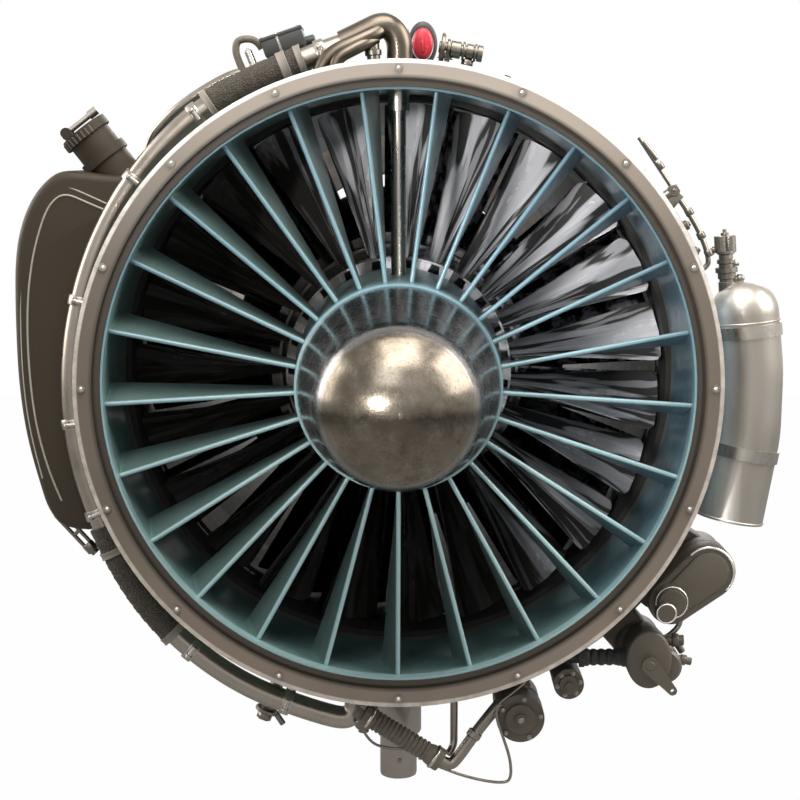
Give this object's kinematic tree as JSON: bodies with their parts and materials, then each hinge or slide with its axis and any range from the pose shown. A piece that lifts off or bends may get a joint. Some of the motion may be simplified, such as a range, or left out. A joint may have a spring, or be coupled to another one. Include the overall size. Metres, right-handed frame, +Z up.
{
  "type": "jet engine",
  "caption": "Small turbofan engine with inlet guide vanes, a polished nose bullet, an oil tank, a bottle and a gearbox on its case.",
  "frame": {"origin": "centre of the inlet flange's front face", "axes": "+Y along the engine axis towards the exhaust, +Z up, +X to the right seen from the front"},
  "size_m": [1.0106, 2.211, 1.0265],
  "materials": {
    "flange": "satin brown grey",
    "steel": "satin",
    "teal": "satin teal",
    "nose": "polished",
    "titanium": "satin dark",
    "abradable": "matt",
    "case": "satin",
    "hot": "heat stained",
    "tank": "dark olive brown",
    "pipe": "bright",
    "sleeve": "woven",
    "casting": "cast",
    "red": "gloss",
    "black": "satin black",
    "rubber": "matt"
  },
  "bodies": {
    "engine_frame": {"inlet_flange_ring": "flange", "flange_screws": "steel", "inlet_case": "teal", "inlet_guide_vanes": "teal", "inlet_hub": "teal", "service_tube": "steel", "nose_bullet": "nose", "fan_case": "case", "rub_strip": "abradable", "fan_stator": "titanium", "intermediate_case": "case", "compressor_case": "case", "burner_case": "hot", "burner_liner": "hot", "fuel_nozzles": "steel", "igniters": "steel", "high_nozzle_vanes": "hot", "low_nozzle_vanes": "hot", "outer_races": "steel", "bearing_rollers": "steel", "bypass_duct": "case", "rear_frame": "hot", "exhaust_cone": "hot", "exhaust_nozzle": "hot", "gearbox": "casting", "starter": "casting", "fuel_pump": "casting", "scavenge_pumps": "casting", "oil_filter": "steel", "oil_tank": "tank", "vessel_straps": "steel", "filler_neck": "casting", "tank_drain": "steel", "vent_pipe": "pipe", "manifold_pipe": "pipe", "manifold_sleeves": "sleeve", "manifold_clamps": "steel", "top_elbow": "pipe", "plug_ring": "black", "ignition_box": "black", "ignition_lead": "rubber", "pipe_unions": "steel", "bottle": "case", "rear_lug": "steel", "bottle_valve": "steel", "corrugated_hoses": "rubber", "small_pipes": "pipe"},
    "low_rotor": {"low_shaft": "steel", "fan_disc": "titanium", "fan_blades": "titanium", "second_fan": "titanium", "low_turbine": "hot", "low_inner_races": "steel"},
    "high_rotor": {"compressor_rotor": "titanium", "high_turbine": "hot", "high_inner_races": "steel"},
    "filler_cap": {"filler_cap": "casting"},
    "filler_lever": {"filler_lever": "steel"},
    "red_plug": {"red_plug": "red"},
    "throttle_lever": {"throttle_lever": "steel"}
  },
  "joints": [
    {"name": "low_spin", "type": "hinge", "parent": "engine_frame", "child": "low_rotor", "pos_m": [0, 0.27, 0], "axis": [0, 1, 0], "continuous": true},
    {"name": "high_spin", "type": "hinge", "parent": "engine_frame", "child": "high_rotor", "pos_m": [0, 0.7, 0], "axis": [0, 1, 0], "continuous": true},
    {"name": "cap_pull", "type": "slide", "parent": "engine_frame", "child": "filler_cap", "axis": [-0.6157, 0, 0.788], "range_m": [0, 0.03]},
    {"name": "lever_lift", "type": "hinge", "parent": "filler_cap", "child": "filler_lever", "pos_m": [-0.43597, 0.171, 0.31846], "axis": [0, -1, 0], "range_deg": [0, 95]},
    {"name": "plug_pull", "type": "slide", "parent": "engine_frame", "child": "red_plug", "axis": [0, -1, 0], "range_m": [0, 0.05]},
    {"name": "throttle_turn", "type": "hinge", "parent": "engine_frame", "child": "throttle_lever", "pos_m": [0.32733, 0.065, -0.36998], "axis": [0, 1, 0], "range_deg": [0, 70]}
  ]
}
